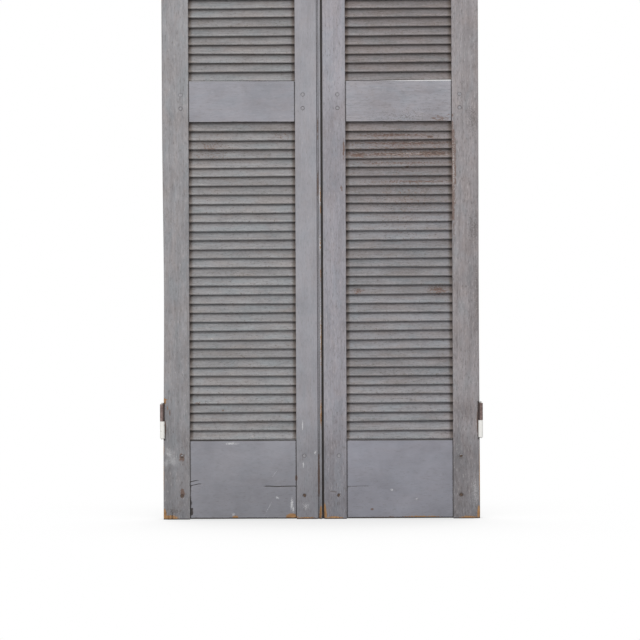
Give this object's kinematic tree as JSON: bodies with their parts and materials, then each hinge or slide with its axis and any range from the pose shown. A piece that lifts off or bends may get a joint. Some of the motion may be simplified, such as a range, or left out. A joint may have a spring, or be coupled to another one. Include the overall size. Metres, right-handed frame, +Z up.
{
  "type": "arched louvred double doors",
  "caption": "Tall arched louvred double doors in aged grey paint: pegged frames with fixed sloping slats, leaves swinging outwards on lift-off butt hinges.",
  "frame": {"origin": "floor point under the middle of the pair, halfway between the front of the hinge barrels and the backs of the leaves", "axes": "+X to the right seen from the front, +Y from front to back, +Z up"},
  "size_m": [0.9024, 0.051, 2.311],
  "materials": {
    "painted_wood": "aged matt grey paint over softwood, worn through at corners",
    "peg_wood": "thinly painted hardwood pegs",
    "rusted_iron": "rusted cast iron"
  },
  "bodies": {
    "jamb_hinges": {"left_lower_hinge_jamb_half": "rusted_iron", "left_lower_hinge_pin": "rusted_iron", "left_upper_hinge_jamb_half": "rusted_iron", "left_upper_hinge_pin": "rusted_iron", "right_lower_hinge_jamb_half": "rusted_iron", "right_lower_hinge_pin": "rusted_iron", "right_upper_hinge_jamb_half": "rusted_iron", "right_upper_hinge_pin": "rusted_iron"},
    "left_door": {"left_hinge_stile": "painted_wood", "left_meeting_stile": "painted_wood", "left_bottom_rail": "painted_wood", "left_middle_rail": "painted_wood", "left_arched_head": "painted_wood", "left_bottom_rail_lower_hinge_peg": "peg_wood", "left_bottom_rail_lower_meeting_peg": "peg_wood", "left_bottom_rail_upper_hinge_peg": "peg_wood", "left_bottom_rail_upper_meeting_peg": "peg_wood", "left_middle_rail_lower_hinge_peg": "peg_wood", "left_middle_rail_lower_meeting_peg": "peg_wood", "left_middle_rail_upper_hinge_peg": "peg_wood", "left_middle_rail_upper_meeting_peg": "peg_wood", "left_spring_lower_peg": "peg_wood", "left_spring_upper_peg": "peg_wood", "left_crown_lower_peg": "peg_wood", "left_crown_upper_peg": "peg_wood", "left_lower_hinge_door_half": "rusted_iron", "left_upper_hinge_door_half": "rusted_iron"},
    "right_door": {"right_hinge_stile": "painted_wood", "right_meeting_stile": "painted_wood", "right_bottom_rail": "painted_wood", "right_middle_rail": "painted_wood", "right_arched_head": "painted_wood", "right_bottom_rail_lower_hinge_peg": "peg_wood", "right_bottom_rail_lower_meeting_peg": "peg_wood", "right_bottom_rail_upper_hinge_peg": "peg_wood", "right_bottom_rail_upper_meeting_peg": "peg_wood", "right_middle_rail_lower_hinge_peg": "peg_wood", "right_middle_rail_lower_meeting_peg": "peg_wood", "right_middle_rail_upper_hinge_peg": "peg_wood", "right_middle_rail_upper_meeting_peg": "peg_wood", "right_spring_lower_peg": "peg_wood", "right_spring_upper_peg": "peg_wood", "right_crown_lower_peg": "peg_wood", "right_crown_upper_peg": "peg_wood", "right_lower_hinge_door_half": "rusted_iron", "right_upper_hinge_door_half": "rusted_iron"}
  },
  "joints": [
    {"name": "left_door_swing", "type": "hinge", "parent": "jamb_hinges", "child": "left_door", "pos_m": [-0.44485, -0.01912, 0], "axis": [0, 0, -1], "range_deg": [0, 180]},
    {"name": "right_door_swing", "type": "hinge", "parent": "jamb_hinges", "child": "right_door", "pos_m": [0.44485, -0.01912, 0], "axis": [0, 0, 1], "range_deg": [0, 180]}
  ]
}
